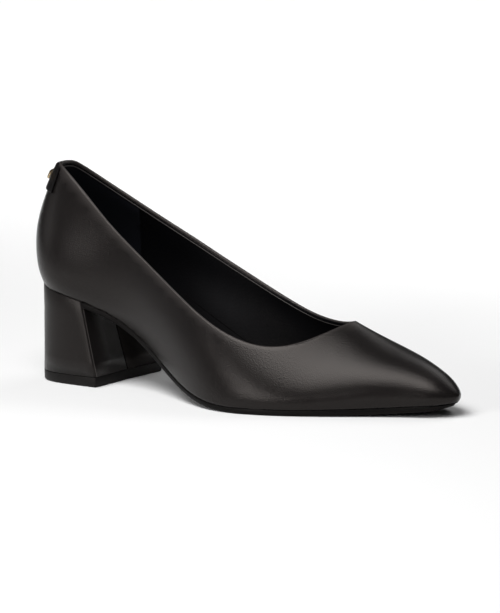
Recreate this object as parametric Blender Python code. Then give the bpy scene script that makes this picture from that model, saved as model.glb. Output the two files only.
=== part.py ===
"""A right-foot block heel pump: pointed toe, low-cut topline, leather-covered block heel.

Metres, +Z up. The shoe stands on its heel tip and its ball, the toe points along +X,
and the inner (big toe) side is +Y. Every piece is worked out from one last: a table of
sections that are shares of the shoe's length, ball width and instep height.
"""
import math

import bmesh
import bpy
import numpy as np
from mathutils import Matrix

# Driving sizes of the last and the upper
LENGTH = 0.252          # back of the heel curve to the toe tip, measured level
BALL_WIDTH = 0.078      # share 1 of every width in the LAST table
INSTEP = 0.060          # share 1 of every height in the LAST table
SEAT_HEIGHT = 0.0488    # floor to the feather line at the back of the seat
SEAT_SLOPE = 0.245      # fall of the seat for each unit forward
TOE_SPRING = 0.0044     # floor to the sole's underside at the toe tip
BACK_HEIGHT = 0.0581    # collar above the feather line at the back seam
WALL = 0.0018           # leather and lining together
MARGIN = 0.0090         # lasting margin folded in under the insole

# Driving sizes of the pieces under the foot
SOLE_THICKNESS = 0.0026
EDGE_CHAMFER = 0.0006
INSOLE_THICKNESS = 0.0020
SOCK_THICKNESS = 0.0014
SOCK_INSET = 0.0042         # bare insole showing round the sock
LIFT_THICKNESS = 0.0050
HEEL_BASE_LENGTH = 0.0442
HEEL_BASE_WIDTH = 0.0526
HEEL_BASE_BACK = 0.0059     # from the back of the shoe to the back of the base
HEEL_BASE_ROUND = 0.0300    # length of the rounding at the back of the base
HEEL_TOP_LENGTH = 0.0341    # from the back of the seat to the breast
HEEL_TOP_INSET = 0.0002     # heel cover inside the upper's feather line
BREAST_HOLLOW = 0.0008      # depth of the breast's middle
BREAST_ROUND = 0.0012       # radius of the breast's two corners
GAP = 0.0003                # between any two pieces that touch
SOLE_TO_BREAST = 0.0004     # the same at the heel's breast, along the shoe

# The back tab and its plain bar
TAB_HALF = 0.0138
TAB_HEIGHT = 0.0118
TAB_THICKNESS = 0.0008
BAR_HALF = 0.0098
BAR_HEIGHT = 0.0028
BAR_THICKNESS = 0.0011

# Places along the shoe, as shares of LENGTH
THROAT = 0.752          # front of the opening
BALL_BACK = 0.602       # the sole's flat spot runs from here
BALL_FRONT = 0.692      # to here

# The shank is one arc from the seat's slope to the ball's flat. Each end carries
# its direction this far into the arc, as a share of the shank's length.
SEAT_CARRY = 0.435
BALL_CARRY = 0.51

# The last, one row for each section from the back of the heel to the toe tip.
# along: share of LENGTH. swing: middle of the section towards the inner side.
# foot: half-width at the feather line. swell: how far the wall leans out, at swell_up.
# shoulder: half-width where the wall has turned onto the top. crest_up: top of the section.
# crest_in: the top's own lean towards the inner side. out is the outer side, in the inner.
LAST_COLUMNS = ("along", "swing", "foot_out", "foot_in", "swell_out", "swell_in",
                "swell_up", "shoulder_out", "shoulder_in", "crest_up", "crest_in")
LAST = (
    (0.00, 0.000, 0.310, 0.310, 0.500, 0.500, 0.285, 0.010, 0.000, 1.330, 0.00),
    (0.12, 0.000, 0.310, 0.310, 0.495, 0.485, 0.307, 0.044, 0.062, 1.330, 0.00),
    (0.25, 0.018, 0.280, 0.290, 0.423, 0.422, 0.301, 0.251, 0.248, 1.270, 0.01),
    (0.40, -0.019, 0.358, 0.270, 0.420, 0.381, 0.261, 0.437, 0.492, 1.120, 0.03),
    (0.55, -0.037, 0.505, 0.370, 0.506, 0.459, 0.207, 0.470, 0.519, 0.880, 0.05),
    (0.65, -0.012, 0.500, 0.440, 0.557, 0.523, 0.178, 0.250, 0.227, 0.820, 0.06),
    (0.74, 0.031, 0.424, 0.430, 0.510, 0.520, 0.142, 0.130, 0.105, 0.667, 0.05),
    (0.84, 0.075, 0.292, 0.325, 0.385, 0.400, 0.155, 0.187, 0.187, 0.465, 0.03),
    (0.93, 0.100, 0.173, 0.190, 0.235, 0.240, 0.110, 0.120, 0.120, 0.300, 0.01),
    (1.00, 0.098, 0.098, 0.095, 0.120, 0.120, 0.085, 0.060, 0.060, 0.114, 0.00),
)
HEEL_ROUND = 0.125      # the seat's back is rounded over this share of LENGTH
HEEL_SQUARENESS = 2.3   # 2 is an ellipse in plan, more is squarer
BASE_SQUARENESS = 3.0
TOE_ROUND = 0.050       # and the toe tip over this
TIP_HEIGHT = 0.41       # share of the crest that is left at the very tip

# The back curve: the heel bulges most at BULGE_UP and leans in below and above it.
BULGE_UP = 0.427        # share of BACK_HEIGHT
FOOT_TUCK = 0.0048      # feather line in front of the bulge
COLLAR_LEAN = 0.0128    # collar in front of the bulge
COLLAR_BEND = 1.54      # power of the lean: 1 is straight, more bends it near the collar
BACK_REACH = 0.120      # the back curve fades out over this share of LENGTH
TOE_TUCK = 0.0018       # feather line behind the toe tip
TOE_TUCK_UP = 0.08      # share of INSTEP over which the tuck fades out

# The topline, as height above the feather line at shares of the way to the throat.
TOPLINE_COLUMNS = ("way", "up_out", "up_in")
TOPLINE = (
    (0.00, 1.000, 1.000),
    (0.10, 1.026, 0.927),
    (0.30, 0.779, 0.727),
    (0.55, 0.725, 0.761),
    (0.78, 0.538, 0.614),
    (0.92, 0.521, 0.601),
)

# Mesh density
ROWS_UP_WALL = 12
ROW_SPREAD = 0.8        # rows stand further apart at the feather line
STEPS_HEEL = 7
STEPS_QUARTER = 27
QUARTER_CROWDING = 1.8  # columns stand closer towards the throat
STEPS_VAMP = 8
STEPS_TOE = 6
BEAD_STEPS = 4
STEPS_HEEL_OUTLINE = 14
STEPS_SHANK = 200
RINGS_DOWN_HEEL = 5
STEPS_COLLAR = 60

# Working limits of the forms
SHARP_EDGE = math.radians(35)
KEPT_WIDTH = 0.15       # share of the half-width that an inset always leaves
TIP_ROOM = 0.4          # where the toe tip is low, the wall is at most this share of its height
FLAT_TURN = 0.2         # faces that turn less than this are met square, not by a mitre
LONGEST_MITRE = 1.8     # a mitre reaches this many thicknesses at most
WELD = 1e-6             # points nearer than this are one point
CLOSE_STATION = 0.004   # share of LENGTH: a column this near a piece's start is left out


def column(table, names, name):
    """One named column of a table."""
    return [row[names.index(name)] for row in table]


def smooth_curve(places, values):
    """A natural cubic spline through the given values, as a function."""
    x = np.array(places, float)
    y = np.array(values, float)
    step = np.diff(x)
    size = len(x)
    matrix = np.eye(size)
    right = np.zeros(size)
    for i in range(1, size - 1):
        matrix[i, i - 1:i + 2] = step[i - 1], 2 * (step[i - 1] + step[i]), step[i]
        right[i] = 6 * ((y[i + 1] - y[i]) / step[i] - (y[i] - y[i - 1]) / step[i - 1])
    bend = np.linalg.solve(matrix, right)

    def value(at):
        i = int(np.clip(np.searchsorted(x, at) - 1, 0, size - 2))
        left, ahead = at - x[i], x[i + 1] - at
        return ((bend[i] * ahead ** 3 + bend[i + 1] * left ** 3) / (6 * step[i])
                + (y[i] / step[i] - bend[i] * step[i] / 6) * ahead
                + (y[i + 1] / step[i] - bend[i + 1] * step[i] / 6) * left)
    return value


def bezier(points, share):
    """The point of a cubic arc at a share from its first control point to its last."""
    a, b, c, d = (np.array(p) for p in points)
    rest = 1 - share
    return (a * rest ** 3 + 3 * b * rest ** 2 * share
            + 3 * c * rest * share ** 2 + d * share ** 3)


def solve(rising, wanted, low, high):
    """Where a rising function reaches the wanted value, by halving."""
    for _ in range(40):
        middle = (low + high) / 2
        if rising(middle) < wanted:
            low = middle
        else:
            high = middle
    return (low + high) / 2


def shank_curve():
    """Places and heights of the shank, from the breast to the back of the ball."""
    start = FOOT_TUCK + HEEL_TOP_LENGTH
    span = BALL_BACK * LENGTH - start
    height = SEAT_HEIGHT - SEAT_SLOPE * start
    carry = SEAT_CARRY * span
    points = ((start, height), (start + carry, height - SEAT_SLOPE * carry),
              (start + span - BALL_CARRY * span, 0.0), (start + span, 0.0))
    return np.array([bezier(points, i / STEPS_SHANK) for i in range(STEPS_SHANK + 1)]).T


LAST_AT = {name: smooth_curve(column(LAST, LAST_COLUMNS, "along"),
                              column(LAST, LAST_COLUMNS, name))
           for name in LAST_COLUMNS[1:]}
SHANK = shank_curve()


def rounded_end(distance, reach, squareness=2.0):
    """Share of the full width at a distance from an end that is rounded over reach."""
    if distance >= reach:
        return 1.0
    return max(0.0, 1 - (1 - distance / reach) ** squareness) ** (1 / squareness)


def end_rounding(along):
    """Share of the full width that the heel's back and the toe tip leave."""
    return rounded_end(along, HEEL_ROUND, HEEL_SQUARENESS) * rounded_end(1 - along, TOE_ROUND)


def base_height(x):
    """Height of the feather line: seat, shank, flat ball, toe spring."""
    floor_level = SOLE_THICKNESS + GAP
    ball_front = BALL_FRONT * LENGTH
    if x <= SHANK[0][0]:
        return floor_level + SEAT_HEIGHT - SEAT_SLOPE * x
    if x <= ball_front:
        return floor_level + float(np.interp(x, SHANK[0], SHANK[1]))
    return floor_level + TOE_SPRING * ((x - ball_front) / (LENGTH - ball_front)) ** 2


def level(x, up):
    """Height of the surface that lies up above the feather line's, square to its slope."""
    small = 1e-4
    slope = (base_height(x + small) - base_height(x - small)) / (2 * small)
    return base_height(x) + up * math.sqrt(1 + slope ** 2)


def section(along, side):
    """Control points (width, height) of one half of the section; side is 1 inner, -1 outer."""
    suffix = "_in" if side > 0 else "_out"
    toe = TIP_HEIGHT + (1 - TIP_HEIGHT) * rounded_end(1 - along, TOE_ROUND)
    crest = LAST_AT["crest_up"](along) * INSTEP * toe
    swell_up = LAST_AT["swell_up"](along) * INSTEP * toe
    foot = LAST_AT["foot" + suffix](along) * BALL_WIDTH
    swell = LAST_AT["swell" + suffix](along) * BALL_WIDTH
    shoulder = LAST_AT["shoulder" + suffix](along) * BALL_WIDTH
    lean = side * LAST_AT["crest_in"](along) * BALL_WIDTH
    return ((foot, 0.0), (swell, swell_up), (shoulder + lean, crest), (lean, crest))


def back_set(height):
    """How far forward of the bulge the back curve stands at a height above the feather line."""
    bulge = BULGE_UP * BACK_HEIGHT
    if height < bulge:
        return FOOT_TUCK * (1 - height / bulge) ** 2
    return COLLAR_LEAN * ((height - bulge) / (BACK_HEIGHT - bulge)) ** COLLAR_BEND


def last_point(along, side, cover):
    """A point of the last's surface, which is the outside of the upper.

    cover is the share of the half-section, from the feather line (0) to the crest (1)."""
    width, height = bezier(section(along, side), cover)
    width *= end_rounding(along)
    heel_fade = max(0.0, 1 - along / BACK_REACH) ** 2
    toe_tuck = TOE_TUCK * max(0.0, 1 - (1 - along) / TOE_ROUND)
    tip_low = max(0.0, 1 - height / (TOE_TUCK_UP * INSTEP))
    x = along * LENGTH + back_set(height) * heel_fade - toe_tuck * tip_low ** 2
    y = LAST_AT["swing"](along) * BALL_WIDTH + side * width
    foot_x = along * LENGTH + FOOT_TUCK * heel_fade - toe_tuck
    return np.array((x, y, base_height(foot_x) + height))


def topline_cover(along, side):
    """Share of the half-section that the upper covers at a place behind the throat."""
    suffix = "_in" if side > 0 else "_out"
    crest = section(THROAT, side)[3][1] / BACK_HEIGHT
    ways = column(TOPLINE, TOPLINE_COLUMNS, "way") + [1.0]
    ups = column(TOPLINE, TOPLINE_COLUMNS, "up" + suffix) + [crest]
    wanted = smooth_curve(ways, ups)(along / THROAT) * BACK_HEIGHT
    points = section(along, side)
    return solve(lambda cover: bezier(points, cover)[1], wanted, 0.0, 1.0)


def stations():
    """Places of the upper's columns, as shares of LENGTH, and how many reach the throat."""
    quarter_turn = math.pi / 2
    heel = [HEEL_ROUND * (1 - math.cos(quarter_turn * i / STEPS_HEEL))
            for i in range(STEPS_HEEL)]
    quarter = [HEEL_ROUND + (THROAT - HEEL_ROUND)
               * (1 - (1 - i / STEPS_QUARTER) ** QUARTER_CROWDING)
               for i in range(STEPS_QUARTER)]
    vamp_end = 1 - TOE_ROUND
    vamp = [THROAT + (vamp_end - THROAT) * i / STEPS_VAMP for i in range(STEPS_VAMP)]
    toe = [1 - TOE_ROUND * (1 - math.sin(quarter_turn * i / STEPS_TOE))
           for i in range(STEPS_TOE + 1)]
    return heel + quarter + vamp + toe, len(heel) + len(quarter)


def feather(along, side, inset=0.0):
    """Plan point of the feather line, where the upper turns under, drawn in by inset.

    The inset is square to the line round the heel and along the sides, and shortens the
    toe evenly. Where it would pass the middle, it stops short."""
    small = 1e-4
    x, y, _ = last_point(along, side, 0.0)
    middle = LAST_AT["swing"](along) * BALL_WIDTH
    run = (last_point(min(along + small, 1.0), side, 0.0)
           - last_point(max(along - small, 0.0), side, 0.0))[:2]
    run /= np.linalg.norm(run)
    kept = KEPT_WIDTH * abs(y - middle)
    width = max(abs(y - middle) - inset * abs(run[0]), kept)
    toe_way = max(0.0, 1 - (1 - along) / TOE_ROUND)
    return x + inset * (max(side * run[1], 0.0) - toe_way), middle + side * width


def place_of(x):
    """The share of LENGTH at which the feather line passes a place in metres."""
    return solve(lambda along: last_point(along, 1, 0.0)[0], x, 0.0, 1.0)


def under_outline(inset, places):
    """Outline of a piece under the foot: a list of (outer point, inner point)."""
    return [(feather(along, -1, inset), feather(along, 1, inset)) for along in places]


def ring_at(outline, height):
    """A closed ring over an outline: outer side to the toe, then the inner side back."""
    outer = [(x, y, height(x)) for (x, y), _ in outline]
    inner = [(x, y, height(x)) for _, (x, y) in outline]
    return outer + inner[::-1]


def heel_outline(drop):
    """The heel's outline, from its top under the seat (drop 0) to its base (drop 1)."""
    breast = place_of(FOOT_TUCK + HEEL_TOP_LENGTH)
    outline = []
    for i in range(STEPS_HEEL_OUTLINE + 1):
        spread = 1 - math.cos(math.pi / 2 * i / STEPS_HEEL_OUTLINE)
        x = HEEL_BASE_LENGTH * spread
        half = HEEL_BASE_WIDTH / 2 * rounded_end(x, HEEL_BASE_ROUND, BASE_SQUARENESS)
        pair = []
        for side in (-1, 1):
            top = np.array(feather(breast * spread, side, HEEL_TOP_INSET))
            base = np.array((HEEL_BASE_BACK + x, side * half))
            pair.append(tuple(top * (1 - drop) + base * drop))
        outline.append(pair)
    return outline


def heel_ring(drop, height):
    """A closed ring of the heel: outer side forward, across the hollow breast, inner side back."""
    outline = heel_outline(drop)
    (front, outer), (_, inner) = outline[-1]
    corner = BREAST_ROUND * (1 - math.sqrt(0.5))
    middle = (outer + inner) / 2
    across = ((front - BREAST_ROUND, outer, inner),
              (front - corner, outer + corner, inner - corner),
              (front, outer + BREAST_ROUND, inner - BREAST_ROUND),
              (front - BREAST_HOLLOW, middle - BREAST_ROUND / 2, middle + BREAST_ROUND / 2))
    return ring_at(outline[:-1] + [((x, out), (x, into)) for x, out, into in across], height)


def material(name, colour, roughness, metallic=0.0):
    """A Principled BSDF with one colour."""
    made = bpy.data.materials.new(name)
    made.use_nodes = True
    shader = made.node_tree.nodes["Principled BSDF"]
    shader.inputs["Base Color"].default_value = (*colour, 1)
    shader.inputs["Roughness"].default_value = roughness
    shader.inputs["Metallic"].default_value = metallic
    made.diffuse_color = (*colour, 1)
    return made


def add_object(name, points, faces, finish):
    """A named object from points and faces, welded, facing out and shaded smooth."""
    mesh = bpy.data.meshes.new(name)
    mesh.from_pydata([tuple(map(float, p)) for p in points], [], faces)
    work = bmesh.new()
    work.from_mesh(mesh)
    bmesh.ops.remove_doubles(work, verts=work.verts, dist=WELD)
    bmesh.ops.dissolve_degenerate(work, edges=work.edges, dist=WELD)
    bmesh.ops.recalc_face_normals(work, faces=work.faces)
    work.to_mesh(mesh)
    work.free()
    mesh.materials.append(finish)
    made = bpy.data.objects.new(name, mesh)
    bpy.context.scene.collection.objects.link(made)
    mesh.shade_smooth()
    mesh.set_sharp_from_angle(angle=SHARP_EDGE)
    return made


def ring_faces(first, second):
    """Quads between two closed rings of point indices."""
    count = len(first)
    return [(first[i], first[(i + 1) % count], second[(i + 1) % count], second[i])
            for i in range(count)]


def cap_faces(start, count, front):
    """A cap for a ring whose points i and count-1-i lie across from each other.

    It is a ladder of quads, and one face for the last front points of each side."""
    rungs = count // 2 - front
    ladder = [(start + i, start + i + 1, start + count - 2 - i, start + count - 1 - i)
              for i in range(rungs)]
    return ladder + [tuple(range(start + rungs, start + count - rungs))]


def stack(name, rings, finish, front=2):
    """A solid from closed rings, one over the other, capped at both ends."""
    count = len(rings[0])
    points = [p for ring in rings for p in ring]
    faces = []
    for i in range(len(rings) - 1):
        faces += ring_faces(range(i * count, (i + 1) * count),
                            range((i + 1) * count, (i + 2) * count))
    faces += cap_faces(0, count, front) + cap_faces((len(rings) - 1) * count, count, front)
    return add_object(name, points, faces, finish)


def skin_grid():
    """Outside of the upper on both sides: grid[side][column][row], margin rows first."""
    places, throat_column = stations()
    grid = {}
    for side in (-1, 1):
        columns = []
        for i, along in enumerate(places):
            cover = topline_cover(along, side) if i < throat_column else 1.0
            wall = [last_point(along, side, cover * (j / ROWS_UP_WALL) ** ROW_SPREAD)
                    for j in range(ROWS_UP_WALL + 1)]
            x, y = feather(along, side, MARGIN)
            tucked = np.array((x, y, base_height(x)))
            middle = (tucked + wall[0]) / 2
            middle[2] = base_height(middle[0])
            columns.append([tucked, middle] + wall)
        grid[side] = columns
    return grid, throat_column


class Skin:
    """The upper's outside as indexed points and quads, with its two open borders."""

    def __init__(self):
        grid, throat_column = skin_grid()
        count = len(grid[1])
        rows = len(grid[1][0])
        self.points = []
        self.room = []
        self.faces = []
        self.index = {}
        for side in (-1, 1):
            for i in range(count):
                room = TIP_ROOM * (grid[side][i][-1][2] - grid[side][i][2][2])
                for j in range(rows):
                    on_crest = j == rows - 1 and i >= throat_column
                    if side > 0 and (i in (0, count - 1) or on_crest):
                        self.index[side, i, j] = self.index[-1, i, j]
                        continue
                    self.index[side, i, j] = len(self.points)
                    self.points.append(grid[side][i][j])
                    self.room.append(room)
            for i in range(count - 1):
                for j in range(rows - 1):
                    quad = [self.index[side, i, j], self.index[side, i + 1, j],
                            self.index[side, i + 1, j + 1], self.index[side, i, j + 1]]
                    self.faces.append(quad if side < 0 else quad[::-1])
        top = rows - 1
        outer = [self.index[-1, i, top] for i in range(throat_column + 1)]
        inner = [self.index[1, i, top] for i in range(throat_column - 1, 0, -1)]
        self.topline = outer + inner
        self.under = ([self.index[-1, i, 0] for i in range(count)]
                      + [self.index[1, i, 0] for i in range(count - 2, 0, -1)])
        self.points = np.array(self.points)
        self.offsets = self.wall_offsets()

    def wall_offsets(self):
        """From each point to where the wall's planes meet, one wall thickness further in."""
        around = [[] for _ in self.points]
        for face in self.faces:
            p = self.points[face]
            normal = np.zeros(3)
            for k in range(1, len(face) - 1):
                normal += np.cross(p[k] - p[0], p[k + 1] - p[0])
            length = np.linalg.norm(normal)
            if length > 0:
                for k in face:
                    around[k].append(normal / length)
        offsets = []
        for normals, room in zip(around, self.room):
            meet = np.linalg.lstsq(np.array(normals), np.ones(len(normals)), rcond=FLAT_TURN)[0]
            reach = min(np.linalg.norm(meet), LONGEST_MITRE)
            offsets.append(-meet / np.linalg.norm(meet) * reach * min(WALL, room))
        return np.array(offsets)


def topline_bead(skin, inside, start):
    """Rings of points that round the topline from the outside to the lining."""
    border = skin.topline
    points, rings = [], []
    for step in range(1, BEAD_STEPS):
        angle = math.pi * step / BEAD_STEPS
        ring = []
        for k, index in enumerate(border):
            run = skin.points[border[(k + 1) % len(border)]] - skin.points[border[k - 1]]
            away = np.cross(run, -skin.offsets[index])
            away /= np.linalg.norm(away)
            middle = (skin.points[index] + inside[index]) / 2
            half = (skin.points[index] - inside[index]) / 2
            ring.append(start + len(points))
            points.append(middle + half * math.cos(angle) - away * math.sin(angle) * WALL / 2)
        rings.append(ring)
    return points, rings


def make_upper(finish):
    """The upper: one wall with a rounded topline, open above and underneath."""
    skin = Skin()
    inside = skin.points + skin.offsets
    count = len(skin.points)
    bead, rings = topline_bead(skin, inside, 2 * count)
    points = list(skin.points) + list(inside) + bead
    faces = list(skin.faces) + [[k + count for k in face[::-1]] for face in skin.faces]
    rings = [skin.topline] + rings + [[k + count for k in skin.topline]]
    for first, second in zip(rings, rings[1:]):
        faces += ring_faces(first, second)
    faces += ring_faces(skin.under, [k + count for k in skin.under])
    return add_object("upper", points, faces, finish)


def plate(name, inset, low, thickness, finish):
    """A board under the foot, low above the feather line, with eased edges."""
    places, _ = stations()
    full = under_outline(inset, places)
    eased = under_outline(inset + EDGE_CHAMFER, places)
    levels = ((eased, low), (full, low + EDGE_CHAMFER),
              (full, low + thickness - EDGE_CHAMFER), (eased, low + thickness))
    return stack(name, [ring_at(outline, lambda x, up=up: level(x, up))
                        for outline, up in levels], finish)


def make_outsole(finish):
    """The outsole, full width from the breast to the toe, cut back along the leaning breast."""
    breast_top = FOOT_TUCK + HEEL_TOP_LENGTH
    breast_base = HEEL_BASE_BACK + HEEL_BASE_LENGTH
    lean = (breast_base - breast_top) / (base_height(breast_top) - LIFT_THICKNESS)
    rear = place_of(breast_top + lean * SOLE_THICKNESS + SOLE_TO_BREAST)
    places = [along for along in stations()[0] if along > rear + CLOSE_STATION]
    rings = []
    for inset, up in ((EDGE_CHAMFER, 0.0), (0.0, EDGE_CHAMFER),
                      (0.0, SOLE_THICKNESS - EDGE_CHAMFER), (EDGE_CHAMFER, SOLE_THICKNESS)):
        start = breast_top + lean * (SOLE_THICKNESS - up) + SOLE_TO_BREAST
        rings.append(ring_at(under_outline(inset, [place_of(start)] + places),
                             lambda x, up=up: level(x, up - SOLE_THICKNESS - GAP)))
    return stack("outsole", rings, finish)


def make_insole(finish):
    """The insole board, on the lasting margin and inside the wall."""
    return plate("insole", WALL + 2 * GAP, WALL + GAP, INSOLE_THICKNESS, finish)


def make_sock(finish):
    """The padded sock on the insole, its edge showing inside the wall."""
    return plate("sock", WALL + SOCK_INSET, WALL + INSOLE_THICKNESS + 2 * GAP,
                 SOCK_THICKNESS, finish)


def make_heel(finish):
    """The covered block heel, its top following the seat and its breast leaning forward."""
    base_level = LIFT_THICKNESS + GAP
    rings = []
    for step in range(RINGS_DOWN_HEEL, -1, -1):
        drop = step / RINGS_DOWN_HEEL
        rings.append(heel_ring(drop, lambda x, d=drop:
                               level(x, -GAP) * (1 - d) + base_level * d))
    return stack("heel", rings, finish, front=4)


def make_top_lift(finish):
    """The hard rubber tip that the heel stands on."""
    full = heel_ring(1.0, lambda x: LIFT_THICKNESS)
    middle = np.mean(full, axis=0)
    eased = []
    for point in full:
        away = np.array(point) - middle
        x, y, _ = middle + away * (1 - EDGE_CHAMFER / np.linalg.norm(away))
        eased.append((x, y, 0.0))
    return stack("top_lift", [eased, [(x, y, EDGE_CHAMFER) for x, y, _ in full], full],
                 finish, front=4)


def collar_patch(name, half, low, high, off, thickness, finish, across=14, down=5):
    """A curved plate over the collar's back, off the upper's outside by off.

    It reaches half to each side of the back seam, from low to high as distances
    down from the topline."""
    far_side, near_side = [], []
    for u in range(across + 1):
        arc = half * (2 * u / across - 1)
        side = 1 if arc >= 0 else -1
        along = place_on_arc(abs(arc), side)
        cover = topline_cover(along, side)
        for v in range(down + 1):
            drop = low + (high - low) * v / down
            point, normal = point_and_normal(along, side, cover * (1 - drop / BACK_HEIGHT))
            far_side.append(point + normal * (off + thickness))
            near_side.append(point + normal * off)
    rows = down + 1
    count = len(far_side)
    faces = []
    for u in range(across):
        for v in range(down):
            quad = [u * rows + v, u * rows + v + 1, (u + 1) * rows + v + 1, (u + 1) * rows + v]
            faces.append(quad)
            faces.append([k + count for k in quad[::-1]])
    edge = ([u * rows for u in range(across + 1)]
            + [across * rows + v for v in range(1, rows)]
            + [u * rows + down for u in range(across - 1, -1, -1)]
            + [v for v in range(down - 1, 0, -1)])
    faces += ring_faces(edge, [k + count for k in edge])
    return add_object(name, far_side + near_side, faces, finish)


def place_on_arc(distance, side):
    """Share of LENGTH reached by a distance round the collar from the back seam."""
    walked = 0.0
    previous = last_point(0.0, side, topline_cover(0.0, side))
    for i in range(1, STEPS_COLLAR + 1):
        along = HEEL_ROUND * (1 - math.cos(math.pi / 2 * i / STEPS_COLLAR))
        point = last_point(along, side, topline_cover(along, side))
        walked += np.linalg.norm(point - previous)
        if walked >= distance:
            return along
        previous = point
    return HEEL_ROUND


def point_and_normal(along, side, cover):
    """A point of the upper's outside and the direction that points away from the foot."""
    small = 1e-4
    point = last_point(along, side, cover)
    ahead = last_point(along + small, side, cover)
    behind = point if along > small else last_point(along + small, -side, cover)
    up = last_point(along, side, cover + small) - last_point(along, side, cover - small)
    normal = np.cross(ahead - behind, up) * -side
    return point, normal / np.linalg.norm(normal)


def stand_on_origin(pieces):
    """Moves every piece so that the origin lies on the floor under the middle of the shoe."""
    corners = [vertex.co for piece in pieces for vertex in piece.data.vertices]
    low, high = np.min(corners, axis=0), np.max(corners, axis=0)
    shift = (-(low[0] + high[0]) / 2, -(low[1] + high[1]) / 2, 0.0)
    for piece in pieces:
        piece.data.transform(Matrix.Translation(shift))


def main():
    for old in list(bpy.data.objects):
        bpy.data.objects.remove(old)
    leather = material("black_leather", (0.018, 0.017, 0.018), 0.42)
    lining = material("black_lining", (0.008, 0.008, 0.009), 0.6)
    rubber = material("black_rubber", (0.012, 0.012, 0.013), 0.55)
    metal = material("pale_gold", (0.75, 0.6, 0.35), 0.3, 1.0)
    bar_low = (TAB_HEIGHT - BAR_HEIGHT) / 2
    stand_on_origin([
        make_upper(leather),
        make_outsole(rubber),
        make_insole(lining),
        make_sock(lining),
        make_heel(leather),
        make_top_lift(rubber),
        collar_patch("back_tab", TAB_HALF, GAP, TAB_HEIGHT, GAP, TAB_THICKNESS, leather),
        collar_patch("back_bar", BAR_HALF, bar_low, bar_low + BAR_HEIGHT,
                     2 * GAP + TAB_THICKNESS, BAR_THICKNESS, metal, down=2),
    ])


main()
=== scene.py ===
"""The looks of a block heel pump in black leather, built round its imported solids.

Metres. The toe points along +X, the inner side is +Y, the floor is at height 0 and the
shoe stands on its heel tip and its ball.
"""
import math

import bmesh
import bpy
from mathutils import Matrix, Vector
from mathutils.bvhtree import BVHTree


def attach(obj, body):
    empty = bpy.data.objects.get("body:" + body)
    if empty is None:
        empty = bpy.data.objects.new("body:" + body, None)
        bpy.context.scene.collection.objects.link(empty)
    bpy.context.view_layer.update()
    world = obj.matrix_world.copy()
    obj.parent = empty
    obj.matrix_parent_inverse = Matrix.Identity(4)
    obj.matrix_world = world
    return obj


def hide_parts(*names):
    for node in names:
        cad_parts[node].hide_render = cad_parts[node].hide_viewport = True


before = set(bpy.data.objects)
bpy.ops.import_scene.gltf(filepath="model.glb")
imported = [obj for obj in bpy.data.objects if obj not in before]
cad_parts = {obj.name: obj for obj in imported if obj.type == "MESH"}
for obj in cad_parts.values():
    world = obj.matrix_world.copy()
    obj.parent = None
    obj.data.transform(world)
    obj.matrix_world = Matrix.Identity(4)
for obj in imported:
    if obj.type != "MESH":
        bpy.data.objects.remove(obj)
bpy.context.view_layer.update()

MM = 0.001


# The upper: smooth black calf, skived thin and folded over at the topline, pulled over the
# last and cemented under the insole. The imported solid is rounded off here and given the
# soft waves that leather keeps after lasting.
LEATHER_BLACK = (0.0056, 0.0051, 0.0052)
LEATHER_BROWN = (0.0100, 0.0084, 0.0080)
# the topline fold's burnished edge, made lighter still to paint its highlight
FOLD_BURNISH_AND_HIGHLIGHT = (0.0420, 0.0370, 0.0355)
CALF_SHINE = 0.20                   # strength of the waxed surface's mirror reflection
WAX_TINT = (1.00, 0.92, 0.87)
UNDERSIDE = 0.75                    # faces that look down more than this lie under the foot
FEATHER_CREASE = 0.75               # the wall stays crisp where it folds under
WELD = 0.02 * MM
PAIR_ANGLE = math.radians(60)
BEAD_TURN = math.radians(36)        # the folded topline turns more than this at every ring
CORNER_TURN = math.radians(45)      # the wall turns more than this where it folds under
AXIS_STEPS = 9                      # rings of points on each side of the middle
AXIS_STEP = 10 * MM
AXIS_REACH = 7 * MM
AXIS_HEIGHT = 0.45                  # share of the height at which the inside's middle lies
COLLAR_MIDDLE = Vector((-0.025, 0.003))
COLLAR_STRETCH = 3                  # the opening is about this much longer than wide
TOE_END = 0.100                     # the lining is left out of the toe's last inch
FOLD_FADE = 3.0 * MM                # the fold's burnished edge and its painted highlight fade out over this
WAVES = (                           # centre, reach along, reach across and up, depth
    ((0.020, -0.036, 0.022), 0.022, 0.012, 0.15 * MM),
    ((-0.026, -0.028, 0.046), 0.026, 0.015, 0.20 * MM),
    ((-0.062, 0.026, 0.066), 0.022, 0.014, 0.20 * MM),
    ((0.032, 0.038, 0.022), 0.018, 0.011, 0.15 * MM),
)
CELL_SOFTNESS = 0.6
FINE_SHARE = 0.6                    # of the fine noise in the grain's height
NOISE_DETAIL = 6
NOISE_ROUGHNESS = 0.6
DRIFT_SCALE = 28                    # the colour drifts over a few centimetres
DRIFT_DETAIL = 4


def node_copy(node):
    """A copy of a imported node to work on, its corners merged and its triangles paired."""
    work = bmesh.new()
    work.from_mesh(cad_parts[node].data)
    bmesh.ops.remove_doubles(work, verts=work.verts, dist=WELD)
    bmesh.ops.join_triangles(work, faces=work.faces, angle_face_threshold=PAIR_ANGLE,
                             angle_shape_threshold=math.pi)
    return work


def add_piece(work, name, finishes, node=None, levels=0):
    """A finished piece from its mesh: smooth, riding on the shoe, with its material slot."""
    mesh = bpy.data.meshes.new(name)
    work.to_mesh(mesh)
    work.free()
    for finish in finishes:
        mesh.materials.append(finish)
    mesh.shade_smooth()
    made = bpy.data.objects.new(name, mesh)
    bpy.context.scene.collection.objects.link(made)
    if levels:
        smooth = made.modifiers.new("smooth", "SUBSURF")
        smooth.levels = smooth.render_levels = levels
    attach(made, "root")
    if node:
        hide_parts(node)
    return made


def turning(work, angle):
    """The edges where two faces meet at more than an angle."""
    return {e for e in work.edges if len(e.link_faces) == 2 and e.calc_face_angle(0.0) > angle}


def joined(start, neighbours):
    """Everything that is reached from start, step by step."""
    found, todo = {start}, [start]
    while todo:
        for item in neighbours(todo.pop()):
            if item not in found:
                found.add(item)
                todo.append(item)
    return found


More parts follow.
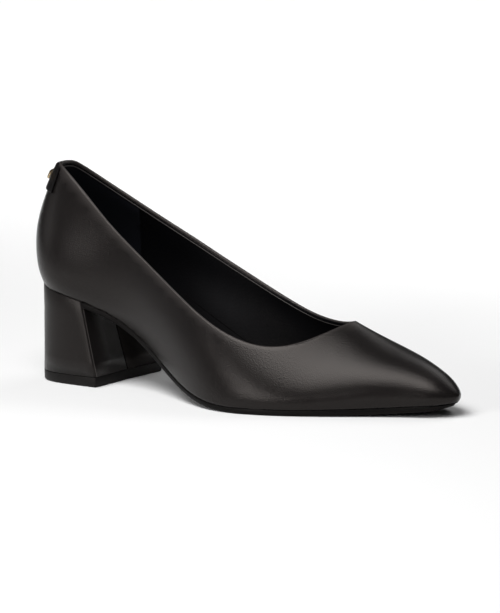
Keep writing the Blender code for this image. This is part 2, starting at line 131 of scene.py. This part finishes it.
def cavity_axis(work):
    """Points along the middle of the shoe's inside, from the heel to the toe."""
    points = []
    for step in range(-AXIS_STEPS, AXIS_STEPS + 1):
        place = step * AXIS_STEP
        near = [v.co for v in work.verts if abs(v.co.x - place) < AXIS_REACH]
        low = min(p.z for p in near)
        high = max(p.z for p in near)
        side = (min(p.y for p in near) + max(p.y for p in near)) / 2
        points.append(Vector((place, side, low + AXIS_HEIGHT * (high - low))))
    return points


def outwards(axis, point):
    """From the middle of the shoe's inside towards a point of its wall."""
    return point - min(axis, key=lambda centre: abs(centre.x - point.x))


def topline_loop(bead):
    """The top of the fold in order round the opening, with the way up at each point."""
    mid = {v for v in bead if all(e.other_vert(v) in bead for e in v.link_edges)}
    top = joined(max(mid, key=lambda v: v.co.z),
                 lambda v: [e.other_vert(v) for e in v.link_edges if e.other_vert(v) in mid])

    def bearing(vert):
        away = vert.co.xy - COLLAR_MIDDLE
        return math.atan2(away.y * COLLAR_STRETCH, away.x)

    return [(v.co.copy(), v.normal.copy()) for v in sorted(top, key=bearing)]


def wave(point):
    """How far the leather stands out at a point."""
    total = 0.0
    for centre, along, around, depth in WAVES:
        off = point - Vector(centre)
        total += depth * math.exp(-(off.x / along) ** 2 - (off.y ** 2 + off.z ** 2) / around ** 2)
    return total


def inner_wall(work, bead):
    """Numbers of the faces that line the foot's space, from the fold down to the insole."""
    facing = {f for f in work.faces if not any(v in bead for v in f.verts)
              and f.calc_center_median().x < TOE_END
              and f.normal.dot(outwards(AXIS, f.calc_center_median())) < 0}
    corners = turning(work, CORNER_TURN)
    start = max(facing, key=lambda f: f.calc_center_median().z)
    found = joined(start, lambda f: [g for e in f.edges if e not in corners
                                     for g in e.link_faces if g in facing])
    return {f.index for f in found}


def grain_group():
    """Leather's grain: small flat cells with soft edges, broken up by a finer noise."""
    group = bpy.data.node_groups.new("leather_grain", "ShaderNodeTree")
    group.interface.new_socket("Size", in_out="INPUT", socket_type="NodeSocketFloat")
    group.interface.new_socket("Height", in_out="OUTPUT", socket_type="NodeSocketFloat")
    group.interface.new_socket("Drift", in_out="OUTPUT", socket_type="NodeSocketFloat")
    nodes, links = group.nodes, group.links
    inputs = nodes.new("NodeGroupInput")
    outputs = nodes.new("NodeGroupOutput")
    place = nodes.new("ShaderNodeTexCoord")
    scale = nodes.new("ShaderNodeMath")
    scale.operation = "DIVIDE"
    scale.inputs[0].default_value = 1.0
    links.new(inputs.outputs["Size"], scale.inputs[1])
    cells = nodes.new("ShaderNodeTexVoronoi")
    cells.feature = "SMOOTH_F1"
    cells.inputs["Smoothness"].default_value = CELL_SOFTNESS
    fine = nodes.new("ShaderNodeTexNoise")
    fine.inputs["Detail"].default_value = NOISE_DETAIL
    fine.inputs["Roughness"].default_value = NOISE_ROUGHNESS
    for texture in (cells, fine):
        links.new(place.outputs["Object"], texture.inputs["Vector"])
        links.new(scale.outputs[0], texture.inputs["Scale"])
    both = nodes.new("ShaderNodeMath")
    both.operation = "MULTIPLY_ADD"
    both.inputs[1].default_value = FINE_SHARE
    links.new(fine.outputs["Fac"], both.inputs[0])
    links.new(cells.outputs["Distance"], both.inputs[2])
    links.new(both.outputs[0], outputs.inputs["Height"])
    drift = nodes.new("ShaderNodeTexNoise")
    drift.inputs["Scale"].default_value = DRIFT_SCALE
    drift.inputs["Detail"].default_value = DRIFT_DETAIL
    links.new(place.outputs["Object"], drift.inputs["Vector"])
    links.new(drift.outputs["Fac"], outputs.inputs["Drift"])
    return group


GRAIN = grain_group()


def grained(name, dark, light, grain, bump, polish, shine, burnish_and_sheen=None):
    """A finish with a grain, a slow drift of colour and of polish, and another colour where
    the mesh marks painted highlight on a burnished edge, and painted sheen. The leathers,
    the resin, the rubber and the metal share it."""
    made = bpy.data.materials.new(name)
    made.use_nodes = True
    nodes, links = made.node_tree.nodes, made.node_tree.links
    shader = nodes["Principled BSDF"]
    shader.inputs["Specular IOR Level"].default_value = shine
    shader.inputs["Specular Tint"].default_value = (*WAX_TINT, 1)
    surface = nodes.new("ShaderNodeGroup")
    surface.node_tree = GRAIN
    surface.inputs["Size"].default_value = grain
    tint = nodes.new("ShaderNodeMix")
    tint.data_type = "RGBA"
    tint.inputs["A"].default_value = (*dark, 1)
    tint.inputs["B"].default_value = (*light, 1)
    links.new(surface.outputs["Drift"], tint.inputs["Factor"])
    colour = tint.outputs["Result"]
    if burnish_and_sheen:
        where = nodes.new("ShaderNodeAttribute")
        where.attribute_name = "burnish_and_sheen"
        burnish_and_sheen_mix = nodes.new("ShaderNodeMix")
        burnish_and_sheen_mix.data_type = "RGBA"
        burnish_and_sheen_mix.inputs["B"].default_value = (*burnish_and_sheen, 1)
        links.new(where.outputs["Fac"], burnish_and_sheen_mix.inputs["Factor"])
        links.new(colour, burnish_and_sheen_mix.inputs["A"])
        colour = burnish_and_sheen_mix.outputs["Result"]
    links.new(colour, shader.inputs["Base Color"])
    dull = nodes.new("ShaderNodeMapRange")
    dull.inputs["To Min"].default_value, dull.inputs["To Max"].default_value = polish
    links.new(surface.outputs["Drift"], dull.inputs["Value"])
    links.new(dull.outputs["Result"], shader.inputs["Roughness"])
    relief = nodes.new("ShaderNodeBump")
    relief.inputs["Strength"].default_value = bump
    relief.inputs["Distance"].default_value = grain
    links.new(surface.outputs["Height"], relief.inputs["Height"])
    links.new(relief.outputs["Normal"], shader.inputs["Normal"])
    return made


upper_work = node_copy("upper")
upper_work.normal_update()
AXIS = cavity_axis(upper_work)
bead_top = max(upper_work.verts, key=lambda v: v.co.z)
bead_verts = {v for e in turning(upper_work, BEAD_TURN) for v in e.verts}
bead_verts = joined(bead_top, lambda v: [e.other_vert(v) for e in v.link_edges
                                         if e.other_vert(v) in bead_verts])
TOPLINE = topline_loop(bead_verts)
for vert in upper_work.verts:
    vert.co += outwards(AXIS, vert.co).normalized() * wave(vert.co)
# The fold of the topline gets a lighter colour: its burnished edge and a painted highlight.
fold_burnish_and_highlight = upper_work.verts.layers.float.new("burnish_and_sheen")
for vert in upper_work.verts:
    gap = min((vert.co - point).length for point, _ in TOPLINE)
    vert[fold_burnish_and_highlight] = max(0.0, 1 - gap / FOLD_FADE)
crease = upper_work.edges.layers.float.new("crease_edge")
for edge in turning(upper_work, CORNER_TURN):
    if any(f.normal.z < -UNDERSIDE for f in edge.link_faces):
        edge[crease] = FEATHER_CREASE
upper_work.normal_update()
upper_work.faces.ensure_lookup_table()
WALL = BVHTree.FromBMesh(upper_work)
inner_faces = inner_wall(upper_work, bead_verts)
lining_work = upper_work.copy()
lining_work.faces.ensure_lookup_table()

black_calf = grained("black_calf", LEATHER_BLACK, LEATHER_BROWN, grain=0.55 * MM,
                     bump=0.16, polish=(0.21, 0.28), shine=CALF_SHINE, burnish_and_sheen=FOLD_BURNISH_AND_HIGHLIGHT)
add_piece(upper_work, "upper_leather", [black_calf], "upper", levels=2)


# The lining: thin black goat leather inside the quarters and the vamp. Its edge is turned
# and stitched down a little below the fold of the topline, all the way round. A closed seam
# runs low along the arch, where a paler patch paints the sheen of light on the lining.
LINING_BLACK = (0.0011, 0.0012, 0.0018)
LINING_GREY = (0.0024, 0.0024, 0.0031)
LINING_SHINE = 0.13
# paler colour that paints the lining's sheen at the arch
ARCH_PAINTED_SHEEN = (0.0150, 0.0148, 0.0160)
ARCH = Vector((-0.030, 0.027, 0.038))   # middle of the painted sheen on the lining at the arch
ARCH_LENGTH = 20 * MM
ARCH_HEIGHT = 9 * MM
ARCH_FALL = 0.42                    # the painted sheen falls this much towards the toe
ARCH_SIDE = -20 * MM                # only what lies further to the inner side gets the painted sheen
ARCH_SEAM = (                       # places on the inner side's lining, from back to front
    (-0.0580, 0.027, 0.0415),
    (-0.0510, 0.026, 0.0380),
    (-0.0400, 0.025, 0.0330),
    (-0.0280, 0.025, 0.0270),
    (-0.0180, 0.025, 0.0220),
    (-0.0120, 0.026, 0.0200),
)
# dark colour of the closed seams; in the heel breast's groove it also paints shade
SEAM_BLACK = (0.0012, 0.0012, 0.0013)
SEAM_SHINE = 0.05
SEAM_RADIUS = 0.20 * MM
SEAM_RISE = 0.46 * MM               # of its middle off the upper's wall
SEAM_CUTS = 4                       # of the way from one place to the next
LINING_DROP = 1.5 * MM              # the edge is trimmed this far under the fold's end
LINING_THICKNESS = 0.6 * MM
LINING_REACH = 3 * MM               # the lining's own top edge lies this near the fold
EDGE_RADIUS = 0.24 * MM
EDGE_DROP = 2.3 * MM                # below the top of the fold
EDGE_INSIDE = 1.2 * MM              # from the fold's top towards the foot
EDGE_STAND = 0.35 * MM              # off the upper's wall
# paints the highlight along the lining's edge and the heel cover's folds
EDGE_HIGHLIGHT_GREY = (0.0600, 0.0560, 0.0540)
STITCH_PITCH = 2.9 * MM
STITCH_LENGTH = 2.1 * MM
STITCH_RADIUS = 0.19 * MM
STITCH_DROP = 1.35 * MM             # below the top of the fold
STITCH_INSIDE = 1.0 * MM
THREAD_GREY = (0.012, 0.011, 0.011)


def nearest_top(point):
    """The nearest point of the topline and its way up."""
    return min(TOPLINE, key=lambda pair: (pair[0] - point).length)


def on_wall(point):
    """The nearest point of the upper's wall, and the way off it."""
    place, normal, _, _ = WALL.find_nearest(point)
    return place, normal


def rim(work):
    """The lining's top edge: its open edges that lie close under the fold."""
    return {v for e in work.edges if e.is_boundary for v in e.verts
            if (nearest_top(v.co)[0] - v.co).length < LINING_REACH}


def solid_sheet(made, thickness, sunk):
    """Gives a piece the thickness of its leather, towards the foot, sunk into its backing."""
    wall = made.modifiers.new("leather_thickness", "SOLIDIFY")
    wall.thickness = thickness
    wall.offset = 1 - 2 * sunk
    smooth = made.modifiers.new("smooth", "SUBSURF")
    smooth.levels = smooth.render_levels = 2


def tube(name, path, radius, finish, cyclic=True):
    """A round bead of leather or thread along a path."""
    line = bpy.data.curves.new(name, "CURVE")
    line.dimensions = "3D"
    line.bevel_depth = radius
    line.bevel_resolution = 2
    spline = line.splines.new("POLY")
    spline.points.add(len(path) - 1)
    for place, point in zip(spline.points, path):
        place.co = (*point, 1)
    spline.use_cyclic_u = cyclic
    line.use_fill_caps = not cyclic
    holder = bpy.data.objects.new(name + "_line", line)
    bpy.context.scene.collection.objects.link(holder)
    bpy.context.view_layer.update()
    work = bmesh.new()
    work.from_mesh(holder.to_mesh())
    bpy.data.objects.remove(holder)
    return add_piece(work, name, [finish])


def even_points(path, pitch):
    """Points at an even pitch along a closed path, each with the way along."""
    lengths = [(b - a).length for a, b in zip(path, path[1:] + path[:1])]
    count = round(sum(lengths) / pitch)
    step = sum(lengths) / count
    made, k, walked = [], 0, 0.0
    for i in range(count):
        while walked + lengths[k] < i * step:
            walked += lengths[k]
            k += 1
        a, b = path[k], path[(k + 1) % len(path)]
        made.append((a.lerp(b, (i * step - walked) / lengths[k]), (b - a).normalized()))
    return made


def stitch_row(name, places, finish):
    """Short raised stitches, one for each (place, way along, way off the leather)."""
    work = bmesh.new()
    for place, along, off in places:
        across = off.cross(along).normalized()
        turn = Matrix((along, across, along.cross(across))).transposed().to_4x4()
        size = Matrix.Diagonal((STITCH_LENGTH / 2, STITCH_RADIUS, STITCH_RADIUS, 1))
        bmesh.ops.create_uvsphere(work, u_segments=8, v_segments=6, radius=1,
                                  matrix=Matrix.Translation(place) @ turn @ size)
    return add_piece(work, name, [finish])


def smooth_path(path, times=3):
    """A closed path with its small kinks evened out."""
    for _ in range(times):
        path = [(path[k - 1] + point * 2 + path[(k + 1) % len(path)]) / 4
                for k, point in enumerate(path)]
    return path


doomed = [f for f in lining_work.faces if f.index not in inner_faces]
bmesh.ops.delete(lining_work, geom=doomed, context="FACES")
lining_rim = rim(lining_work)
for vert in lining_rim:
    _, up = nearest_top(vert.co)
    vert.co = on_wall(vert.co - up * LINING_DROP)[0]
# A paler patch at the arch paints the sheen of the light on the lining.
arch_sheen_layer = lining_work.verts.layers.float["burnish_and_sheen"]
for vert in lining_work.verts:
    off = vert.co - ARCH
    rise = off.z + ARCH_FALL * off.x
    if off.y > ARCH_SIDE:
        vert[arch_sheen_layer] = math.exp(-(off.x / ARCH_LENGTH) ** 2 - (rise / ARCH_HEIGHT) ** 2)
    else:
        vert[arch_sheen_layer] = 0.0
lining_grip = lining_work.copy()
goat_lining = grained("goat_lining", LINING_BLACK, LINING_GREY, grain=0.9 * MM,
                      bump=0.10, polish=(0.42, 0.52), shine=LINING_SHINE, burnish_and_sheen=ARCH_PAINTED_SHEEN)
lining = add_piece(lining_work, "quarter_lining", [goat_lining])
solid_sheet(lining, LINING_THICKNESS, sunk=0.2)

seam = grained("closed_seam", SEAM_BLACK, SEAM_BLACK, grain=0.4 * MM, bump=0.1,
               polish=(0.6, 0.7), shine=SEAM_SHINE)
seam_path = []
for start, end in zip(ARCH_SEAM, ARCH_SEAM[1:]):
    for cut in range(SEAM_CUTS):
        place, off = on_wall(Vector(start).lerp(Vector(end), cut / SEAM_CUTS))
        seam_path.append(place + off * SEAM_RISE)
tube("arch_seam", seam_path, SEAM_RADIUS, seam, cyclic=False)

edge_path, stitch_path = [], []
for point, up in TOPLINE:
    inside = -outwards(AXIS, point)
    inside = (inside - up * inside.dot(up)).normalized()
    edge_place, _ = on_wall(point - up * EDGE_DROP + inside * EDGE_INSIDE)
    edge_path.append(edge_place + inside * EDGE_STAND)
    stitch_path.append(point - up * STITCH_DROP + inside * STITCH_INSIDE)
# The lining's edge and the heel cover's folds get a grey finish that paints their highlight.
edge_highlight = grained("lining_edge_painted_highlight", EDGE_HIGHLIGHT_GREY, FOLD_BURNISH_AND_HIGHLIGHT, grain=0.6 * MM,
                 bump=0.05, polish=(0.35, 0.42), shine=CALF_SHINE)
tube("lining_edge", smooth_path(edge_path), EDGE_RADIUS, edge_highlight)
thread = grained("black_thread", THREAD_GREY, LEATHER_BROWN, grain=0.2 * MM,
                 bump=0.2, polish=(0.45, 0.6), shine=CALF_SHINE)
places = []
for point, along in even_points(smooth_path(stitch_path), STITCH_PITCH):
    place, off = on_wall(point)
    places.append((place, (along - off * along.dot(off)).normalized(), off))
stitch_row("topline_stitches", places, thread)


# The heel grip: a pocket of black suede at the back of the lining, so that the shoe doesn't
# slip off. Its front edges run down both sides and are stitched to the lining.
SUEDE_BLACK = (0.0026, 0.0032, 0.0052)
SUEDE_GREY = (0.0044, 0.0050, 0.0078)
GRIP_FRONT = -0.0835                # place of the front edge at the next line's height
GRIP_HEIGHT = 0.077
GRIP_LEAN = (1.0, 0.0, -0.16)       # the edge leans back on its way down
GRIP_THICKNESS = 1.15 * MM
all_lining = lining_grip.verts[:] + lining_grip.edges[:] + lining_grip.faces[:]
bmesh.ops.bisect_plane(lining_grip, geom=all_lining, dist=WELD, clear_outer=True,
                       plane_co=(GRIP_FRONT, 0, GRIP_HEIGHT), plane_no=GRIP_LEAN)
suede = grained("grip_suede", SUEDE_BLACK, SUEDE_GREY, grain=0.25 * MM,
                bump=0.2, polish=(0.75, 0.9), shine=LINING_SHINE)
grip = add_piece(lining_grip, "heel_grip", [suede])
solid_sheet(grip, GRIP_THICKNESS, sunk=0.1)


# The insole: a board covered in black lining leather, which shows as a narrow margin round
# the sock and carries the lasting margin of the upper on its underside.
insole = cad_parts["insole"]
insole.data.materials.clear()
insole.data.materials.append(goat_lining)


# The sock: soft black leather over a thin layer of foam, cemented on the insole. It is
# crowned a little along its middle and rounded at its edge.
SOCK_CROWN = 0.5 * MM
CROWN_REACH = 8 * MM                # the crown rises over this width from the edge
SOCK_RUNG = 6 * MM                  # edges longer than this run across the sock
SOCK_CUTS = 7
UP_FACING = 0.7                     # faces that look up more than this lie on top of a piece
SOCK_BLACK = (0.0030, 0.0030, 0.0034)
SOCK_SHEEN = (0.0056, 0.0054, 0.0056)
sock_work = node_copy("sock")
across = [e for e in sock_work.edges if abs(e.verts[0].co.y - e.verts[1].co.y) > SOCK_RUNG]
bmesh.ops.subdivide_edges(sock_work, edges=across, cuts=SOCK_CUTS, use_grid_fill=True)
sock_work.normal_update()
edge_points = [v.co.copy() for v in sock_work.verts
               if any(e.calc_face_angle(0.0) > BEAD_TURN for e in v.link_edges)]
for vert in sock_work.verts:
    if vert.normal.z > UP_FACING:
        clear = min((vert.co - point).length for point in edge_points)
        vert.co.z += SOCK_CROWN * min(1.0, clear / CROWN_REACH) ** 0.5
sock_leather = grained("sock_leather", SOCK_BLACK, SOCK_SHEEN, grain=1.0 * MM,
                       bump=0.12, polish=(0.30, 0.42), shine=CALF_SHINE)
sock = add_piece(sock_work, "sock_pad", [sock_leather], "sock", levels=2)


# The outsole: a thin black resin sole, its edge trimmed and inked, cemented over the
# lasting margin from the heel's breast to the toe. Under the toe's tip it is pared away.
SOLE_BLACK = (0.0018, 0.0017, 0.0018)
SOLE_GREY = (0.0034, 0.0032, 0.0031)
RESIN_SHINE = 0.09
SOLE_CORNER = math.radians(30)
SOLE_EASE = 0.12 * MM
DOWN_FACING = 0.3                   # faces that look down more than this lie under the sole
TIP_REACH = 15 * MM                 # the toe's last part, where the sole is pared away
TIP_LOW_BACK = 5.0 * MM             # its underside ends this far back
TIP_HIGH_BACK = 1.0 * MM            # and its upper edge this far
TOUCH = 0.27 * MM                   # cemented pieces touch here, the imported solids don't


def raise_top(work):
    """Lifts a piece's upper face until it meets the leather cemented on it, and returns it."""
    work.normal_update()
    top = {v for f in work.faces if f.normal.z > UP_FACING for v in f.verts}
    for vert in top:
        vert.co.z += TOUCH
    return top


outsole_work = node_copy("outsole")
sole_top = raise_top(outsole_work)
for vert in sole_top:
    below = [e.other_vert(vert) for e in vert.link_edges if e.other_vert(vert) not in sole_top]
    if below:
        vert.co.xy = below[0].co.xy
tip = max(v.co.x for v in outsole_work.verts)
low = {v for f in outsole_work.faces if f.normal.z < -DOWN_FACING for v in f.verts}
for vert in outsole_work.verts:
    near_tip = max(0.0, 1 - (tip - vert.co.x) / TIP_REACH)
    vert.co.x -= (TIP_LOW_BACK if vert in low else TIP_HIGH_BACK) * near_tip ** 2
bmesh.ops.bevel(outsole_work, geom=list(turning(outsole_work, SOLE_CORNER)),
                offset=SOLE_EASE, offset_type="OFFSET", affect="EDGES", segments=2,
                profile=0.5, material=-1)
resin = grained("sole_resin", SOLE_BLACK, SOLE_GREY, grain=0.4 * MM, bump=0.06,
                polish=(0.42, 0.52), shine=RESIN_SHINE)
add_piece(outsole_work, "outsole_edge_inked", [resin], "outsole")


# The heel: a moulded block wrapped in the upper's leather. The cover is folded round the
# breast's two sides, and its ends are turned in and meet in a seam down the breast's middle.
HEEL_CORNER = math.radians(32)
BREAST_FACING = 0.9                 # faces that look forwards more than this are the breast
SIDE_EDGE = 4 * MM                  # edges that rise more than this run down the heel
HEEL_EASE = 0.30 * MM
HEEL_TOP_EASE = 0.12 * MM
SEAM_STRIP = 2 * MM                 # half the width that holds the strip between the ends
SEAM_FACING = 0.7
SEAM_SHARE = 0.9                    # of the strip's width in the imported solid
SEAM_WALL = 0.12 * MM
SEAM_DEPTH = 0.4 * MM
HALF_BREAST = 6 * MM                # the cover's folds lie further out than this
FOLD_RADIUS = 0.17 * MM


def breast_strip(work, middle):
    """The faces of the narrow strip between the cover's two ends."""
    return [f for f in work.faces if f.normal.x > SEAM_FACING
            and max(abs(v.co.y - middle) for v in f.verts) < SEAM_STRIP]


heel_work = node_copy("heel")
raise_top(heel_work)
heel_work.normal_update()
heel_middle = sum(v.co.y for v in heel_work.verts) / len(heel_work.verts)
for vert in {v for f in breast_strip(heel_work, heel_middle) for v in f.verts}:
    vert.co.y = heel_middle + (vert.co.y - heel_middle) * SEAM_SHARE
breast = {v for f in heel_work.faces if f.normal.x > BREAST_FACING for v in f.verts}
breast = sorted(breast, key=lambda v: v.co.z)
fold_paths = [[v.co.copy() for v in breast if (v.co.y - heel_middle) * side > HALF_BREAST]
              for side in (-1, 1)]
top_edges = [e for e in turning(heel_work, HEEL_CORNER)
             if any(f.normal.z > UP_FACING for f in e.link_faces)]
bmesh.ops.bevel(heel_work, geom=top_edges, offset=HEEL_TOP_EASE, offset_type="OFFSET",
                affect="EDGES", segments=2, profile=0.5, material=-1)
heel_work.normal_update()
side_edges = [e for e in turning(heel_work, HEEL_CORNER)
              if abs(e.verts[0].co.z - e.verts[1].co.z) > SIDE_EDGE]
bmesh.ops.bevel(heel_work, geom=side_edges, offset=HEEL_EASE, offset_type="OFFSET",
                affect="EDGES", segments=3, profile=0.5, material=-1)
heel_work.normal_update()
strip = breast_strip(heel_work, heel_middle)
bmesh.ops.inset_region(heel_work, faces=strip, thickness=SEAM_WALL, depth=-SEAM_DEPTH,
                       use_even_offset=True)
# The strip gets the darker, duller seam finish: the seam's own dark joint, and painted shade in
# its groove.
for face in strip:
    face.material_index = 1
cover = grained("heel_cover", LEATHER_BLACK, LEATHER_BROWN, grain=0.55 * MM, bump=0.08,
                polish=(0.30, 0.38), shine=CALF_SHINE)
add_piece(heel_work, "heel_wrapped", [cover, seam], "heel")
# The cover's folds are thin beads in the grey edge finish, a painted highlight along the breast's
# corners.
for name, path in zip(("cover_fold_outer", "cover_fold_inner"), fold_paths):
    tube(name, path, FOLD_RADIUS, edge_highlight, cyclic=False)


# The top lift: a hard rubber tip, trimmed flush with the heel and pinned up into it.
LIFT_BLACK = (0.0038, 0.0037, 0.0039)
LIFT_GREY = (0.0070, 0.0067, 0.0067)
RUBBER_SHINE = 0.15
LIFT_EASE = 0.15 * MM
lift_work = node_copy("top_lift")
bmesh.ops.bevel(lift_work, geom=list(turning(lift_work, HEEL_CORNER)),
                offset=LIFT_EASE, offset_type="OFFSET", affect="EDGES", segments=2,
                profile=0.5, material=-1)
rubber = grained("lift_rubber", LIFT_BLACK, LIFT_GREY, grain=0.3 * MM, bump=0.08,
                 polish=(0.42, 0.55), shine=RUBBER_SHINE)
add_piece(lift_work, "top_lift_trimmed", [rubber], "top_lift")


# The back tab: a patch of the upper's leather over the top of the back seam, its edges
# skived and rounded, stitched on.
TAB_CORNER = math.radians(40)
TAB_EASE = 0.25 * MM
TAB_BLACK = (0.0020, 0.0020, 0.0022)
tab_work = node_copy("back_tab")
bmesh.ops.bevel(tab_work, geom=list(turning(tab_work, TAB_CORNER)),
                offset=TAB_EASE, offset_type="OFFSET", affect="EDGES", segments=2,
                profile=0.5, material=-1)
tab_calf = grained("tab_calf", TAB_BLACK, LEATHER_BLACK, grain=0.5 * MM, bump=0.1,
                   polish=(0.35, 0.45), shine=LINING_SHINE)
add_piece(tab_work, "back_tab_stitched", [tab_calf], "back_tab", levels=1)


# The plain metal bar across the tab: cast, polished and plated pale gold, pinned through
# the tab from inside.
BAR_GOLD = (0.70, 0.55, 0.33)
BAR_DULL = (0.52, 0.40, 0.24)
METAL_SHINE = 0.5
BAR_CORNER = math.radians(40)
BAR_EASE = 0.3 * MM
bar_work = node_copy("back_bar")
bmesh.ops.bevel(bar_work, geom=list(turning(bar_work, BAR_CORNER)),
                offset=BAR_EASE, offset_type="OFFSET", affect="EDGES", segments=3,
                profile=0.5, material=-1)
plating = grained("pale_gold_plating", BAR_GOLD, BAR_DULL, grain=0.15 * MM, bump=0.03,
                  polish=(0.2, 0.32), shine=METAL_SHINE)
plating.node_tree.nodes["Principled BSDF"].inputs["Metallic"].default_value = 1.0
add_piece(bar_work, "back_bar_polished", [plating], "back_bar", levels=1)


# The studio: a plain pale floor in a dim room. The main softbox hangs in front of the outer
# side, low panels light that side and the heel's back, a high one lights the inner side, and
# one with a grid keeps the far floor pale without reaching the shoe.
FLOOR_HALF = 4.0
FLOOR_WHITE = (0.90, 0.90, 0.90)
FLOOR_DULL = 0.8
OPEN = math.pi                      # a panel without a grid
PANELS = (                          # name, place, aims at, length, width, watts, grid
    ("main_softbox", (-0.05, -0.60, 1.25), (0.02, 0.0, 0.03), 1.3, 0.72, 21.5, OPEN),
    ("side_panel", (-0.20, -1.15, 0.38), (0.02, -0.03, 0.03), 0.6, 0.22, 4.4, OPEN),
    ("inner_softbox", (0.10, 1.00, 1.15), (0.0, 0.0, 0.03), 0.9, 0.7, 3.6, OPEN),
    ("heel_panel", (-1.25, -0.62, 0.36), (-0.10, 0.0, 0.06), 0.5, 0.35, 0.6, OPEN),
    ("far_floor", (-0.60, 1.50, 1.40), (-0.60, 1.50, 0.0), 3.6, 2.2, 23, math.radians(40)),
)
ROOM_GLOW = 0.05
floor_work = bmesh.new()
bmesh.ops.create_grid(floor_work, x_segments=1, y_segments=1, size=FLOOR_HALF)
floor_mesh = bpy.data.meshes.new("floor")
floor_work.to_mesh(floor_mesh)
floor_work.free()
floor = bpy.data.objects.new("floor", floor_mesh)
bpy.context.scene.collection.objects.link(floor)
paper = bpy.data.materials.new("white_paper")
paper.use_nodes = True
paper_shader = paper.node_tree.nodes["Principled BSDF"]
paper_shader.inputs["Base Color"].default_value = (*FLOOR_WHITE, 1)
paper_shader.inputs["Roughness"].default_value = FLOOR_DULL
floor_mesh.materials.append(paper)
for name, place, aim, length, width, watts, grid in PANELS:
    lamp = bpy.data.lights.new(name, "AREA")
    lamp.shape = "RECTANGLE"
    lamp.size, lamp.size_y = length, width
    lamp.energy = watts
    lamp.spread = grid
    holder = bpy.data.objects.new(name, lamp)
    holder.location = place
    holder.rotation_euler = (Vector(aim) - Vector(place)).to_track_quat("-Z", "Y").to_euler()
    bpy.context.scene.collection.objects.link(holder)
room = bpy.data.worlds.new("pale_room")
room.use_nodes = True
walls = room.node_tree.nodes["Background"]
walls.inputs["Color"].default_value = (1.0, 1.0, 1.0, 1)
walls.inputs["Strength"].default_value = ROOM_GLOW
bpy.context.scene.world = room
bpy.context.scene.view_settings.view_transform = "Standard"


# The camera: three metres away and half a metre up, in front of the toe on the outer side,
# turned a little in its mount.
AZIMUTH = math.radians(38.98)
ELEVATION = math.radians(10.14)
ROLL = math.radians(1.55)
DISTANCE = 3.014
TARGET = Vector((0.0001, 0.0028, 0.055))
FRAME_WIDTH = 500
FRAME_HEIGHT = 613
PIXELS_PER_METRE = 2023             # at the target
TARGET_PIXEL = (243.84, 285.05)
SENSOR = 36.0
SIGHT_END = 50
back = Vector((math.sin(AZIMUTH) * math.cos(ELEVATION),
               -math.cos(AZIMUTH) * math.cos(ELEVATION), math.sin(ELEVATION)))
level_right = Vector((math.cos(AZIMUTH), math.sin(AZIMUTH), 0))
level_up = back.cross(level_right)
right = level_right * math.cos(ROLL) - level_up * math.sin(ROLL)
up = level_right * math.sin(ROLL) + level_up * math.cos(ROLL)
aside = (FRAME_WIDTH / 2 - TARGET_PIXEL[0]) / PIXELS_PER_METRE
below = (FRAME_HEIGHT / 2 - TARGET_PIXEL[1]) / PIXELS_PER_METRE
lens = bpy.data.cameras.new("camera")
lens.sensor_width = SENSOR
lens.lens = PIXELS_PER_METRE * DISTANCE * SENSOR / FRAME_HEIGHT
lens.clip_end = SIGHT_END
camera = bpy.data.objects.new("camera", lens)
place = TARGET + back * DISTANCE + right * aside - up * below
camera.matrix_world = (Matrix.Translation(place)
                       @ Matrix((right, up, back)).transposed().to_4x4())
bpy.context.scene.collection.objects.link(camera)
bpy.context.scene.camera = camera
